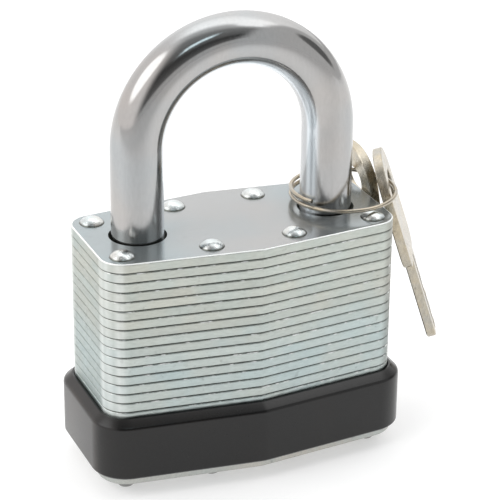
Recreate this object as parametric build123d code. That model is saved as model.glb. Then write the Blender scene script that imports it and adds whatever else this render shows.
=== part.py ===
from build123d import *
from itertools import product
from math import asin, atan2, ceil, cos, degrees, hypot, pi, radians, sin, sqrt
import os

# A laminated padlock, in millimetres: Z up, X along the case, Y to its back.
# The origin is on the surface that the rivet feet stand on, under the middle of the case.
# It lies closed and unlocked: the shackle is down, and the levers are drawn in.

# Case outline: a long hexagon whose front and back are bent at the middle
CASE_WIDTH = 65.2
END_DEPTH = 26.2
MIDDLE_DEPTH = 33.4
CORNER_RADIUS = 5.1

# Stack of plates
PLATE_THICKNESS = 2.09
PLATE_COUNT = 23
PLATE_EDGE = 0.28
BOTTOM_PLATE_THICKNESS = 1.85
BOTTOM_PLATE_RIM = 0.9
CYLINDER_PLATES = 10
LEVER_PLATES = 2
COVER_PLATES = 3

# Rivets: domed heads on top, and the lower heads are the feet
RIVET_SHANK = 3.6
RIVET_PLAY = 0.05
RIVET_HEAD = 5.3
RIVET_DOME = 1.4
FOOT_HEIGHT = 2.4
FOOT_DIAMETER = 4.6
FOOT_FLAT = 3.2
FOOT_BULGE = 0.25
CORNER_RIVET_INSET = (4.6, 3.7)
INNER_RIVET_X = 9.2
INNER_RIVET_WALL = 4.6

# Bumper round the lower plates
BUMPER_WALL = 2.3
BUMPER_PLAY = 0.15
BUMPER_HEIGHT = 13.5
BUMPER_SLOPE = 1.5
BUMPER_LIP = 0.5
BUMPER_FOOT_EDGE = 0.5

# Shackle
SHACKLE_DIAMETER = 11.0
LEG_INSET = 11.35
SHACKLE_CLEARANCE = 34.4
SHACKLE_LIFT = 14.5
LEG_PLAY = 0.25
TOP_HOLE_PLAY = 0.6
TOE_CHAMFER = 1.2
TOE_LIP = 1.8
NECK_PLAY = 0.2
FOOT_LENGTH = 3.4

# Heel pin and heel spring
HEEL_PIN_LENGTH = 12.4
HEEL_SPRING_DIAMETER = 9.6
HEEL_SPRING_WIRE = 1.2
HEEL_SPRING_TURNS = 5.5

# Cylinder
PLUG_DIAMETER = 11.0
PLUG_NOSE_DIAMETER = 9.4
PLUG_RECESS = 0.3
PLUG_PLAY = 0.08
SHELL_WALL = 1.7
CHAMBER_WALL_WIDTH = 6.8
CHAMBER_TOP = 14.2
CHAMBER_CAP = 1.0
PIN_PITCH = 3.8
FIRST_PIN = 3.2
PIN_DIAMETER = 2.7
PIN_PLAY = 0.1
DRIVER_LENGTH = 4.0
PIN_SPRING_WALL = 0.4
KEYWAY_WIDTH = 2.3
KEYWAY_HEIGHT = 8.2
KEYWAY_DROP = 0.9
WARD_WIDTH = 1.0
WARD_DEPTH = 0.6
TAIL_DIAMETER = 8.8
TAIL_LENGTH = 1.8
CLIP_DIAMETER = 13.2
CLIP_THICKNESS = 0.9
CLIP_GROOVE = 0.5
CLIP_MOUTH = 6.0

# Drive cam and levers
UNLOCKED_TURN = -90.0
CAM_SHAFT = 5.2
CAM_DISC = 8.4
CAM_TONGUE = (2.0, 4.6)
CAM_PLAY = 0.15
POST_DIAMETER = 1.7
POST_THROW = 1.7
LEVER_WIDTH = 8.8
LEVER_SHOULDER = 5.0
LEVER_ARM_GAP = 0.2
LEVER_ARM_END = 1.4
LEVER_PLAY = 0.16
NOSE_CHAMFER = 0.7

# Split ring round the heel leg
RING_DIAMETER = 22.5
RING_WIRE = 0.9
RING_PITCH = 1.42
RING_TURNS = 1.28
RING_START = 209.0
RING_SWAY = 15.0
RING_SIDE_PLAY = 0.3
RING_RIVET_PLAY = 0.3

# Keys
KEY_THICKNESS = 2.0
KEY_EDGE = 0.2
BOW_WIDTH = 19.0
BOW_ABOVE = 8.2
BOW_BELOW = 17.3
BOW_TOP_FLAT = 1.0
BOW_SHOULDER_RADIUS = 4.0
KEY_HOLE = (9.0, 6.0)
BLADE_WIDTH = 7.6
BLADE_LENGTH = 19.2
BLADE_TIP = 2.0
CUT_FLAT = 1.0
CUT_DEPTHS = (1.4, 2.3, 1.0, 1.9)
KEY_REST_GAP = 0.35
KEY_1_PLACE = {"round_ring": 12.0, "turn": 25.5, "aside": 0.4, "drop": 1.9}
KEY_2_PLACE = {"round_ring": 48.0, "turn": 0.0, "aside": 1.4, "drop": 2.1}

# Places that follow from the sizes above
STACK_BASE = FOOT_HEIGHT + BOTTOM_PLATE_THICKNESS
STACK_TOP = STACK_BASE + PLATE_COUNT * PLATE_THICKNESS
LEVER_PLATE = PLATE_COUNT - COVER_PLATES - LEVER_PLATES
CAM_PLATE = LEVER_PLATE - 1
PIN_PLATE = CAM_PLATE - 1
SLOPE = (MIDDLE_DEPTH - END_DEPTH) / CASE_WIDTH
LEG_X = CASE_WIDTH / 2 - LEG_INSET
LEG_RADIUS = SHACKLE_DIAMETER / 2
LEG_INNER = LEG_X - LEG_RADIUS
LEG_HOLE = LEG_RADIUS + LEG_PLAY
PLUG_RADIUS = PLUG_DIAMETER / 2
BORE_RADIUS = PLUG_RADIUS + PLUG_PLAY
SHELL_RADIUS = BORE_RADIUS + SHELL_WALL
LEVER_TRAVEL = POST_THROW * sqrt(2)
NOTCH_DEPTH = LEVER_TRAVEL
NECK_DIAMETER = 2 * (LEG_RADIUS - NOTCH_DEPTH - NECK_PLAY)
HEEL_PIN_DIAMETER = PLATE_THICKNESS - 2 * PIN_PLAY
CYLINDER_LENGTH = CYLINDER_PLATES * PLATE_THICKNESS - TAIL_LENGTH - 2 * PLUG_PLAY
RIVET_TOP = STACK_TOP + RIVET_DOME
BOW_TOP_RADIUS = (BOW_WIDTH - BOW_TOP_FLAT) / 2
UPRIGHT = (Align.CENTER, Align.CENTER, Align.MIN)


def plate_level(index):
    """Height of the lower face of a plate, counted from 0 at the bottom plate."""
    return STACK_BASE + index * PLATE_THICKNESS


def rod(diameter, low, high, x=0.0, y=0.0):
    """Upright round bar between two heights."""
    return Pos(x, y, low) * Cylinder(diameter / 2, high - low, align=UPRIGHT)


def slab(face, low, high):
    """A flat outline raised from one height to another."""
    return extrude(Pos(0, 0, low) * face, high - low)


def block(width, depth, low, high, x=0.0, y=0.0):
    """Upright square bar between two heights."""
    return slab(Pos(x, y) * Rectangle(width, depth), low, high)


def case_face(grow=0.0):
    """The case outline, moved outwards by the same distance on every side."""
    half_width = CASE_WIDTH / 2 + grow
    half_middle = MIDDLE_DEPTH / 2 + grow * hypot(1, SLOPE)
    half_end = half_middle - SLOPE * half_width
    points = [(half_width, half_end), (0, half_middle), (-half_width, half_end)]
    points += [(-x, -y) for x, y in points]
    face = make_face(Polyline(*points, close=True))
    corners = [v for v in face.vertices() if abs(v.X) > half_width / 2]
    return fillet(corners, CORNER_RADIUS + grow)


def outer_edges(solid, *heights):
    """Edges of the outer outline of the level faces at the given heights."""
    edges = []
    for face in solid.faces().filter_by(Axis.Z):
        if any(abs(face.center().Z - height) < PLATE_EDGE / 4 for height in heights):
            edges += face.outer_wire().edges()
    return edges


def rivet_places():
    """Axes of the eight rivets: one by each corner and four by the middle."""
    corner_x = CASE_WIDTH / 2 - CORNER_RIVET_INSET[0]
    corner_y = END_DEPTH / 2 - CORNER_RIVET_INSET[1]
    inner_y = MIDDLE_DEPTH / 2 - SLOPE * INNER_RIVET_X - INNER_RIVET_WALL
    quarter = [(corner_x, corner_y), (INNER_RIVET_X, inner_y)]
    return [(sx * x, sy * y) for (x, y), sx, sy in product(quarter, (1, -1), (1, -1))]


def rivet_holes():
    """Round holes for the rivet shanks."""
    radius = RIVET_SHANK / 2 + RIVET_PLAY
    return [Pos(x, y) * Circle(radius) for x, y in rivet_places()]


def cylinder_face(grow=0.0):
    """Pear-shaped section of the cylinder: round below, with a wall for the pin chambers."""
    top = CHAMBER_TOP + grow
    wall = Pos(0, top / 2) * Rectangle(CHAMBER_WALL_WIDTH + 2 * grow, top)
    return Circle(SHELL_RADIUS + grow) + wall


def plate_cutouts(index):
    """What is punched out of one plate, by the piece that passes it."""
    legs = [Pos(LEG_X, 0) * Circle(LEG_HOLE)]
    if index >= CAM_PLATE:
        legs += [Pos(-LEG_X, 0) * Circle(LEG_HOLE)]
    if index == PLATE_COUNT - 1:
        legs = [Pos(x, 0) * Circle(LEG_RADIUS + TOP_HOLE_PLAY) for x in (-LEG_X, LEG_X)]
    if index < CYLINDER_PLATES:
        return legs + [cylinder_face(PLUG_PLAY)]
    if index < CAM_PLATE:
        legs += [Circle(CAM_SHAFT / 2 + CAM_PLAY)]
    if index == PIN_PLATE:
        pocket = Rectangle(HEEL_PIN_DIAMETER + 2 * PIN_PLAY, HEEL_PIN_LENGTH + 2 * PIN_PLAY)
        legs += [Pos(heel_pin_x(), 0) * pocket]
    if index == CAM_PLATE:
        legs += [Circle(CAM_DISC / 2 + CAM_PLAY)]
    if LEVER_PLATE <= index < LEVER_PLATE + LEVER_PLATES:
        legs += [Rectangle(2 * LEG_X, LEVER_WIDTH + 2 * LEVER_PLAY)]
    return legs


def plate(index):
    """One lamination, with its outer edges broken."""
    low = plate_level(index)
    high = plate_level(index + 1)
    solid = slab(case_face() - rivet_holes() - plate_cutouts(index), low, high)
    return chamfer(outer_edges(solid, low, high), PLATE_EDGE)


def bottom_plate():
    """Wider plate that closes the case, carries the bumper and shows the plug."""
    nose_hole = Circle(PLUG_NOSE_DIAMETER / 2 + PLUG_PLAY)
    face = case_face(BOTTOM_PLATE_RIM) - rivet_holes() - nose_hole
    solid = slab(face, FOOT_HEIGHT, STACK_BASE)
    return chamfer(outer_edges(solid, FOOT_HEIGHT), PLATE_EDGE)


def rivet():
    """One rivet on the Z axis: a domed head, a shank and a blunt foot."""
    shank = RIVET_SHANK / 2
    head = RIVET_HEAD / 2
    ball = (head**2 + RIVET_DOME**2) / (2 * RIVET_DOME)
    half_way = asin(head / ball) / 2
    dome_side = (ball * sin(half_way), RIVET_TOP - ball * (1 - cos(half_way)))
    foot_side = ((FOOT_FLAT + FOOT_DIAMETER) / 4 + FOOT_BULGE, FOOT_HEIGHT / 2)
    profile = Polyline((FOOT_DIAMETER / 2, FOOT_HEIGHT), (shank, FOOT_HEIGHT), (shank, STACK_TOP))
    profile += Line((shank, STACK_TOP), (head, STACK_TOP))
    profile += ThreePointArc((head, STACK_TOP), dome_side, (0, RIVET_TOP))
    profile += Polyline((0, RIVET_TOP), (0, 0), (FOOT_FLAT / 2, 0))
    profile += ThreePointArc((FOOT_FLAT / 2, 0), foot_side, (FOOT_DIAMETER / 2, FOOT_HEIGHT))
    return revolve(make_face(Plane.XZ * profile), Axis.Z)


def rivets():
    """All eight rivets."""
    one = rivet()
    return Compound([Pos(x, y, 0) * one for x, y in rivet_places()])


def bumper():
    """Band round the lower plates, standing on the bottom plate's rim, with a sloping top."""
    outer = BUMPER_PLAY + BUMPER_WALL
    high = STACK_BASE + BUMPER_HEIGHT
    edge = high - BUMPER_SLOPE
    band = slab(case_face(outer), STACK_BASE, edge)
    band = chamfer(outer_edges(band, STACK_BASE), BUMPER_FOOT_EDGE)
    lip = case_face(BUMPER_PLAY + BUMPER_LIP)
    slope = loft([Pos(0, 0, edge) * case_face(outer), Pos(0, 0, high) * lip], ruled=True)
    return band + slope - slab(case_face(BUMPER_PLAY), STACK_BASE, high)


def shackle():
    """Round bar bent over: a short notched toe leg and a long heel leg with a neck."""
    bend = STACK_TOP + SHACKLE_CLEARANCE - LEG_INNER
    start = Pos(LEG_X, 0, bend) * Circle(LEG_RADIUS)
    bar = revolve(start, Axis((0, 0, bend), (0, -1, 0)), 180)
    notch_low = plate_level(LEVER_PLATE)
    notch_high = plate_level(LEVER_PLATE + LEVER_PLATES)
    toe = rod(SHACKLE_DIAMETER, notch_low - TOE_LIP, bend, -LEG_X)
    toe = chamfer(toe.edges().sort_by(Axis.Z)[0], TOE_CHAMFER)
    bar += toe
    bar += rod(SHACKLE_DIAMETER, heel_collar(), bend, LEG_X)
    bar += rod(NECK_DIAMETER, heel_foot_top(), heel_collar(), LEG_X)
    bar += rod(SHACKLE_DIAMETER, heel_foot_low(), heel_foot_top(), LEG_X)
    notch = block(2 * (LEG_INNER + NOTCH_DEPTH), 2 * SHACKLE_DIAMETER, notch_low, notch_high)
    return bar - notch


def heel_collar():
    """Height where the heel leg's full diameter ends and its neck starts."""
    return plate_level(CAM_PLATE) + LEG_PLAY


def heel_foot_top():
    """Top of the heel leg's foot, which the heel pin stops at full lift."""
    return plate_level(PIN_PLATE) - SHACKLE_LIFT - LEG_PLAY


def heel_foot_low():
    """Lower end of the heel leg, on its spring."""
    return heel_foot_top() - FOOT_LENGTH


def heel_pin_x():
    """The heel pin's axis, beside the neck on its inner side."""
    return LEG_X - NECK_DIAMETER / 2 - LEG_PLAY - HEEL_PIN_DIAMETER / 2


def heel_pin():
    """Cross pin that keeps the heel leg in the case."""
    lying = Rot(90, 0, 0) * Cylinder(HEEL_PIN_DIAMETER / 2, HEEL_PIN_LENGTH)
    return Pos(heel_pin_x(), 0, plate_level(PIN_PLATE) + PLATE_THICKNESS / 2) * lying


def wound_wire(name, diameter, wire, rise, turns):
    """Round wire wound about Z from the X axis, as pairs of tangent arcs, clockwise if turns < 0."""
    radius = diameter / 2
    way = 1 if turns > 0 else -1
    spans = ceil(4 * abs(turns))
    step = 2 * pi * abs(turns) / spans
    slant = rise / (2 * pi)

    def place(angle):
        return Vector(radius * cos(angle), way * radius * sin(angle), slant * angle)

    def heading(angle):
        return Vector(-radius * sin(angle), way * radius * cos(angle), slant).normalized()

    edges = []
    for span in range(spans):
        near, far = place(span * step), place((span + 1) * step)
        leave, arrive = heading(span * step), heading((span + 1) * step)
        chord, spread = far - near, 1 - leave.dot(arrive)
        along = chord.dot(leave + arrive)
        reach = (sqrt(along**2 + 2 * spread * chord.dot(chord)) - along) / (2 * spread)
        middle = (near + far + (leave - arrive) * reach) * 0.5
        turned = (far - arrive * reach - near - leave * reach).normalized()
        edges.append(Edge.make_tangent_arc(near, leave, middle))
        edges.append(Edge.make_tangent_arc(middle, turned, far))
    path = Wire(edges)
    section = Plane(origin=place(0), z_dir=heading(0)) * Circle(wire / 2)
    solid = sweep(section, path=path)
    report_wire(name, path, wire, solid, turns)
    return solid


def report_wire(name, path, wire, solid, turns):
    """Print a wound wire's least gap to itself and its volume against section times length."""
    count = ceil(48 * abs(turns))
    points = [path.position_at(n / count) for n in range(count + 1)]
    far_apart = count / abs(turns) / 2
    gaps = [
        (points[a] - points[b]).length
        for a in range(len(points))
        for b in range(a)
        if a - b > far_apart
    ]
    share = solid.volume / (path.length * pi * wire**2 / 4)
    print(f"{name}: least gap {min(gaps) - wire:.2f} mm, volume share {share:.4f}")


def heel_spring():
    """Coil spring between the bottom plate and the heel leg's foot."""
    diameter = HEEL_SPRING_DIAMETER - HEEL_SPRING_WIRE
    room = heel_foot_low() - STACK_BASE - HEEL_SPRING_WIRE - 2 * PIN_PLAY
    rise = room / HEEL_SPRING_TURNS
    coil = wound_wire("heel_spring", diameter, HEEL_SPRING_WIRE, rise, HEEL_SPRING_TURNS)
    return Pos(LEG_X, 0, STACK_BASE + HEEL_SPRING_WIRE / 2 + PIN_PLAY) * coil


def pin_heights():
    """Heights of the pin chambers."""
    return [STACK_BASE + FIRST_PIN + n * PIN_PITCH for n in range(len(CUT_DEPTHS))]


def sideways(diameter, low, high, height):
    """Round bar along +Y between two distances from the plug's axis."""
    lying = Rot(-90, 0, 0) * rod(diameter, low, high)
    return Pos(0, 0, height) * lying


def pin_chambers(high):
    """Bores for the pins, from the plug's axis outwards."""
    diameter = PIN_DIAMETER + 2 * PIN_PLAY
    return [sideways(diameter, 0, high, height) for height in pin_heights()]


def cylinder_shell():
    """Pear-shaped shell with the plug's bore and the pin chambers."""
    low = STACK_BASE + PLUG_PLAY
    high = low + CYLINDER_LENGTH
    solid = slab(cylinder_face() - Circle(BORE_RADIUS), low, high)
    return solid - pin_chambers(CHAMBER_TOP - CHAMBER_CAP)


def plug_levels():
    """Heights of the plug's face, shoulder, tail and top."""
    shoulder = STACK_BASE + PLUG_PLAY
    tail = shoulder + CYLINDER_LENGTH
    return FOOT_HEIGHT + PLUG_RECESS, shoulder, tail, tail + TAIL_LENGTH


def keyway_face():
    """The key's slot, with one ward along its side."""
    slot = Pos(0, -KEYWAY_DROP / 2) * Rectangle(KEYWAY_WIDTH, KEYWAY_HEIGHT)
    ward = Pos(KEYWAY_WIDTH / 2 - WARD_DEPTH / 2, 0) * Rectangle(WARD_DEPTH, WARD_WIDTH)
    return slot - ward


def plug():
    """Turning core: nose in the bottom plate, keyway, pin bores, clip groove and cam slot."""
    face, shoulder, tail, top = plug_levels()
    solid = rod(PLUG_NOSE_DIAMETER, face, shoulder) + rod(PLUG_DIAMETER, shoulder, tail)
    solid += rod(TAIL_DIAMETER, tail, top)
    groove = rod(CLIP_DIAMETER, *clip_levels()) - rod(clip_bore(), *clip_levels())
    solid -= groove
    solid -= slab(keyway_face(), face, face + BLADE_LENGTH + PLUG_RECESS)
    solid -= pin_chambers(PLUG_DIAMETER)
    solid -= block(*[side + 2 * PIN_PLAY for side in CAM_TONGUE], top - CLIP_THICKNESS, top)
    return Rot(0, 0, UNLOCKED_TURN) * solid


def clip_levels():
    """Lower and upper face of the plug's clip, just above the shell."""
    low = plug_levels()[2] + PLUG_PLAY
    return low, low + CLIP_THICKNESS


def clip_bore():
    """Diameter of the groove that the clip sits in."""
    return TAIL_DIAMETER - 2 * CLIP_GROOVE


def plug_clip():
    """Open spring washer in the plug's groove."""
    low, high = clip_levels()
    ring = rod(CLIP_DIAMETER, low + PLUG_PLAY, high - PLUG_PLAY)
    ring -= rod(clip_bore() + 2 * PLUG_PLAY, low, high)
    mouth = block(CLIP_DIAMETER, CLIP_MOUTH, low, high, CLIP_DIAMETER / 2)
    return Rot(0, 0, UNLOCKED_TURN) * (ring - mouth)


def key_pins():
    """Four pointed pins in the plug, ending at its surface."""
    seat = KEYWAY_HEIGHT / 2 - KEYWAY_DROP / 2 - (KEYWAY_HEIGHT - BLADE_WIDTH)
    pins = []
    for height, depth in zip(pin_heights(), CUT_DEPTHS):
        tip = seat - depth + PIN_PLAY
        point = PIN_DIAMETER / 4
        body = sideways(PIN_DIAMETER, tip + point, PLUG_RADIUS - PIN_PLAY, height)
        cone = Cone(point, PIN_DIAMETER / 2, point, align=UPRIGHT)
        pin = body + Pos(0, tip, height) * Rot(-90, 0, 0) * cone
        pins.append(Rot(0, 0, UNLOCKED_TURN) * pin)
    return Compound(pins)


def driver_pins():
    """Four flat pins in the shell, standing on the turned plug."""
    low = BORE_RADIUS
    return Compound([sideways(PIN_DIAMETER, low, low + DRIVER_LENGTH, z) for z in pin_heights()])


def pin_springs():
    """Four springs behind the driver pins, as thin sleeves."""
    low = BORE_RADIUS + DRIVER_LENGTH + PIN_PLAY
    high = CHAMBER_TOP - CHAMBER_CAP - PIN_PLAY
    bore = PIN_DIAMETER - 2 * PIN_SPRING_WALL
    return Compound(
        [sideways(PIN_DIAMETER, low, high, z) - sideways(bore, low, high, z) for z in pin_heights()]
    )


def lever_levels():
    """Lower and upper face of both levers."""
    return plate_level(LEVER_PLATE) + LEVER_PLAY, plate_level(LEVER_PLATE + LEVER_PLATES) - LEVER_PLAY


def drive_cam():
    """Shaft from the plug to a disc with two posts, one for each lever."""
    top = plug_levels()[3]
    disc_low = plate_level(CAM_PLATE) + LEVER_PLAY
    disc_high = plate_level(CAM_PLATE + 1) - LEVER_PLAY
    post_high = lever_levels()[1]
    solid = block(*CAM_TONGUE, top - CLIP_THICKNESS + PIN_PLAY, top + PIN_PLAY)
    solid = Rot(0, 0, UNLOCKED_TURN) * solid
    solid += rod(CAM_SHAFT, top + PIN_PLAY, disc_low)
    solid += rod(CAM_DISC, disc_low, disc_high)
    for side in (1, -1):
        place = side * LEVER_TRAVEL / 2
        solid += rod(POST_DIAMETER, disc_high, post_high, place, place)
    return solid


def toe_lever():
    """Sliding bolt for the toe leg, drawn in, with a forked arm round its post."""
    low, high = lever_levels()
    half = LEVER_WIDTH / 2
    tip = -(LEG_INNER - LEVER_PLAY)
    slot_x = LEVER_TRAVEL / 2
    slot_width = POST_DIAMETER + 2 * CAM_PLAY
    arm_end = slot_x + slot_width / 2 + LEVER_ARM_END
    slot_end = POST_THROW + POST_DIAMETER / 2 + CAM_PLAY
    bolt = Polyline(
        (tip, -half),
        (-LEVER_SHOULDER, -half),
        (-LEVER_SHOULDER, LEVER_ARM_GAP),
        (slot_x - slot_width / 2, LEVER_ARM_GAP),
        (slot_x - slot_width / 2, slot_end),
        (slot_x + slot_width / 2, slot_end),
        (slot_x + slot_width / 2, LEVER_ARM_GAP),
        (arm_end, LEVER_ARM_GAP),
        (arm_end, half),
        (tip, half),
        close=True,
    )
    solid = slab(make_face(bolt), low, high)
    nose = solid.edges().filter_by(Axis.Z).group_by(Axis.X)[0]
    return chamfer(nose, NOSE_CHAMFER)


def heel_lever():
    """Sliding bolt for the heel leg: the toe lever turned half round."""
    return Rot(0, 0, 180) * toe_lever()


def ring_centre():
    """Axis of the split ring, hung to one side of the heel leg."""
    sway = RING_DIAMETER / 2 - RING_WIRE / 2 - LEG_RADIUS - RING_SIDE_PLAY
    return LEG_X + sway * cos(radians(RING_SWAY)), sway * sin(radians(RING_SWAY))


def ring_height(angle):
    """Height of the ring's wire at a compass angle of its first turn."""
    corner_x, corner_y = rivet_places()[1]
    x, y = ring_centre()
    over_rivet = degrees(atan2(corner_y - y, corner_x - x))
    above = RIVET_TOP + RING_RIVET_PLAY + RING_WIRE / 2
    return above + RING_PITCH * (angle - over_rivet) / 360


def split_ring():
    """Wire ring of a little over one turn, wound down clockwise from its free end."""
    coil = wound_wire("split_ring", RING_DIAMETER, RING_WIRE, -RING_PITCH, -RING_TURNS)
    x, y = ring_centre()
    return Pos(x, y, ring_height(RING_START)) * Rot(0, 0, RING_START) * coil


def key_blank():
    """A key in its own plane: hole at the origin, blade down, cuts on the +X side."""
    bow = Pos(0, (BOW_ABOVE - BOW_BELOW) / 2) * Rectangle(BOW_WIDTH, BOW_ABOVE + BOW_BELOW)
    bow = fillet(bow.vertices().group_by(Axis.Y)[-1], BOW_TOP_RADIUS)
    bow = fillet(bow.vertices().group_by(Axis.Y)[0], BOW_SHOULDER_RADIUS)
    tip = -BOW_BELOW - BLADE_LENGTH
    half = BLADE_WIDTH / 2
    blade = make_face(
        Polyline(
            (-half, -BOW_BELOW + BOW_SHOULDER_RADIUS),
            (-half, tip + BLADE_TIP / 2),
            (-half + BLADE_TIP / 2, tip),
            (half - BLADE_TIP, tip),
            (half, tip + BLADE_TIP),
            (half, -BOW_BELOW + BOW_SHOULDER_RADIUS),
            close=True,
        )
    )
    for number, depth in enumerate(CUT_DEPTHS):
        place = BOTTOM_PLATE_THICKNESS - PLUG_RECESS + FIRST_PIN + number * PIN_PITCH
        blade -= Pos(half, -BOW_BELOW - place) * key_cut(depth)
    outline = bow + blade - SlotOverall(*KEY_HOLE)
    solid = extrude(outline, KEY_THICKNESS / 2, both=True)
    solid = chamfer(solid.faces().filter_by(Axis.Z).edges(), KEY_EDGE)
    groove_low = tip - KEY_THICKNESS
    groove = Box(WARD_WIDTH + 2 * PIN_PLAY, -BOW_BELOW - groove_low, 2 * (WARD_DEPTH + PIN_PLAY))
    return solid - Pos(0, (groove_low - BOW_BELOW) / 2, KEY_THICKNESS / 2) * groove


def key_cut(depth):
    """One cut of the blade's edge, with sides at 45 degrees."""
    half = CUT_FLAT / 2
    rim = half + depth + CUT_FLAT
    points = [(-depth, -half), (-depth, half), (CUT_FLAT, rim), (CUT_FLAT, -rim)]
    return make_face(Polyline(*points, close=True))


def hung_key(place):
    """A key threaded on the ring, leaning outwards on the upper edge of the case."""
    x, y = ring_centre()
    round_ring = radians(place["round_ring"])
    height = ring_height(place["round_ring"])
    x += RING_DIAMETER / 2 * cos(round_ring)
    y += RING_DIAMETER / 2 * sin(round_ring)
    turn = radians(place["turn"])
    near_edge = x - (BOW_WIDTH / 2 - place["aside"]) * sin(turn)
    short = (CASE_WIDTH / 2 + KEY_REST_GAP - near_edge) / cos(turn)
    drop = height - STACK_TOP
    lean = atan2(short, drop) + asin(KEY_THICKNESS / 2 / hypot(short, drop))
    across = Vector(sin(turn), cos(turn), 0)
    outward = Vector(cos(turn) * cos(lean), -sin(turn) * cos(lean), sin(lean))
    print(f"key leans {degrees(lean):.1f} degrees, on the ring at {x:.3f} {y:.3f} {height:.3f}")
    hang = Plane(origin=(x, y, height), x_dir=across, z_dir=outward)
    return hang * Pos(place["aside"], -place["drop"], 0) * key_blank()


def all_pieces():
    """Every node's name and solid."""
    pieces = {f"plate_{n + 1:02d}": plate(n) for n in range(PLATE_COUNT - 1)}
    pieces["top_plate"] = plate(PLATE_COUNT - 1)
    for make in (
        bottom_plate,
        rivets,
        bumper,
        shackle,
        heel_pin,
        heel_spring,
        cylinder_shell,
        plug,
        plug_clip,
        key_pins,
        driver_pins,
        pin_springs,
        drive_cam,
        toe_lever,
        heel_lever,
        split_ring,
    ):
        pieces[make.__name__] = make()
    pieces["key_1"] = hung_key(KEY_1_PLACE)
    pieces["key_2"] = hung_key(KEY_2_PLACE)
    return pieces


os.makedirs("parts", exist_ok=True)
for node, shape in all_pieces().items():
    export_step(shape, f"parts/{node}.step")
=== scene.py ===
"""Looks of a laminated padlock with two keys on a split ring.

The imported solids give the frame, in metres. Sizes here are in millimetres, apart from those of the
studio. Round and rolled forms are remade as smooth surfaces, the flat pieces keep their solids, and
every piece gets a procedural finish.
"""

import logging
from dataclasses import dataclass, field, replace
from enum import Enum
from math import atan2, cos, hypot, pi, radians, sin
from typing import Any, Sequence

import bmesh
import bpy
import numpy as np
from mathutils import Matrix, Vector

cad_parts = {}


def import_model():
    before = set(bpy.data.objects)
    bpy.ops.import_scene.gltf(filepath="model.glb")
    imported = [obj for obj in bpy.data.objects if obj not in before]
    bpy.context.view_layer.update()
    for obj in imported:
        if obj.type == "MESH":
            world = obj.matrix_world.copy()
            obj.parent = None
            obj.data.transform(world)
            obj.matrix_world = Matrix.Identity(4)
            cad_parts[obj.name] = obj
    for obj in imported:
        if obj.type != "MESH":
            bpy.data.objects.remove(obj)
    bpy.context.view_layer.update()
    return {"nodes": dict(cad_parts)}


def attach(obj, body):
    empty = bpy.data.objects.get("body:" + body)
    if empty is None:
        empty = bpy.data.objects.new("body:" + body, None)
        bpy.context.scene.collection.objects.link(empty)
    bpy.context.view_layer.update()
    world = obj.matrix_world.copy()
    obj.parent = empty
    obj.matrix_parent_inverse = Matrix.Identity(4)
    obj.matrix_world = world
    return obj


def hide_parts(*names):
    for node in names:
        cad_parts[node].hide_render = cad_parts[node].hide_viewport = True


LOG = logging.getLogger("padlock")
MM = 0.001
TINY = 1e-6
UP = (0.0, 0.0, 1.0)
BLACK = (0.0, 0.0, 0.0, 1.0)
PLATE_THICKNESS = 2.09
PLATE_COUNT = 23
PLATE_BASE = 4.25
CASE_TOP = PLATE_BASE + PLATE_COUNT * PLATE_THICKNESS
FOOT_HEIGHT = 2.4
BEND_HEIGHT = 70.97

Colour = tuple[float, float, float]
Reach = tuple[float, float]
Socket = bpy.types.NodeSocket


class Body(str, Enum):
    """Moving bodies of the lock."""

    CASE = "case"
    SHACKLE = "shackle"
    RING = "ring"


class Slot(str, Enum):
    """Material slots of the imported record."""

    ZINC = "zinc_plate"
    RIVET = "rivet_steel"
    BUMPER = "bumper_plastic"
    SHACKLE = "shackle_chrome"
    KEY = "key_nickel"


@dataclass(frozen=True)
class Finish:
    """One surface finish.

    The tint drifts between three colours, and the grain is drawn out along an axis. A finish with a
    grime pitch is layered: each layer has a shade of its own, painted highlights on its rims and grime
    with painted shade in its joint. A reach is where an effect starts and where it is complete: the
    scuffing of low parts, the change of tint with height, and the lighting tints of the left and right
    end, which are painted shade or a painted reflection. The seat is where a head meets the plate and
    gets a painted shadow, the feet get painted shade, the inner colour is a painted reflection on the
    inside of a bent bar, and the face is the finish of the level top.
    """

    name: str
    base: Colour
    cool: Colour
    warm: Colour
    metallic: float
    roughness: float
    tint_size: float = 14.0
    tint: float = 0.5
    grain_size: float = 0.35
    grain_draw: tuple[float, float, float] = (1.0, 1.0, 1.0)
    grain_shade: float = 0.06
    grain_gloss: float = 0.08
    grain_height: float = 0.0
    mark_share: float = 0.0
    mark_shade: float = 0.5
    grime_pitch: float = 0.0
    grime_start: float = 0.0
    grime_top: float = 0.0
    grime_width: float = 0.0
    grime_lift: float = 0.0
    layer_shade: float = 0.0
    # painted shade: colour of the grime and painted shade in the joints, and of the painted shadow round a
    # seat
    grime_and_shade_colour: Colour = (0.10, 0.105, 0.09)
    # painted highlight on the rims and left corners, whiter and less metallic
    rim_highlight: float = 0.0
    rim_highlight_colour: Colour = (0.93, 0.95, 0.94)
    specular: float = 0.5
    # painted shadow round a head's seat, and painted shade on the feet below the foot shade height
    seat_height: float = 0.0
    seat_width: float = 0.0
    foot_shade_height: float = 0.0
    foot_shade_colour: Colour = (0.2, 0.2, 0.2)
    scuff: float = 0.0
    scuff_reach: Reach = (0.0, 0.0)
    rise_reach: Reach = (0.0, 0.0)
    low_tint: Colour = (1.0, 1.0, 1.0)
    high_tint: Colour = (1.0, 1.0, 1.0)
    # painted shade or a painted reflection towards the left and right end
    left_reach: Reach = (0.0, 0.0)
    left_lighting_tint: Colour = (1.0, 1.0, 1.0)
    right_reach: Reach = (0.0, 0.0)
    right_lighting_tint: Colour = (1.0, 1.0, 1.0)
    inner_height: float = 0.0
    # painted reflection on the inside of a bent bar
    inner_reflection_colour: Colour = (1.0, 1.0, 1.0)
    face: "Finish | None" = None
    face_height: float = 0.0


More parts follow.
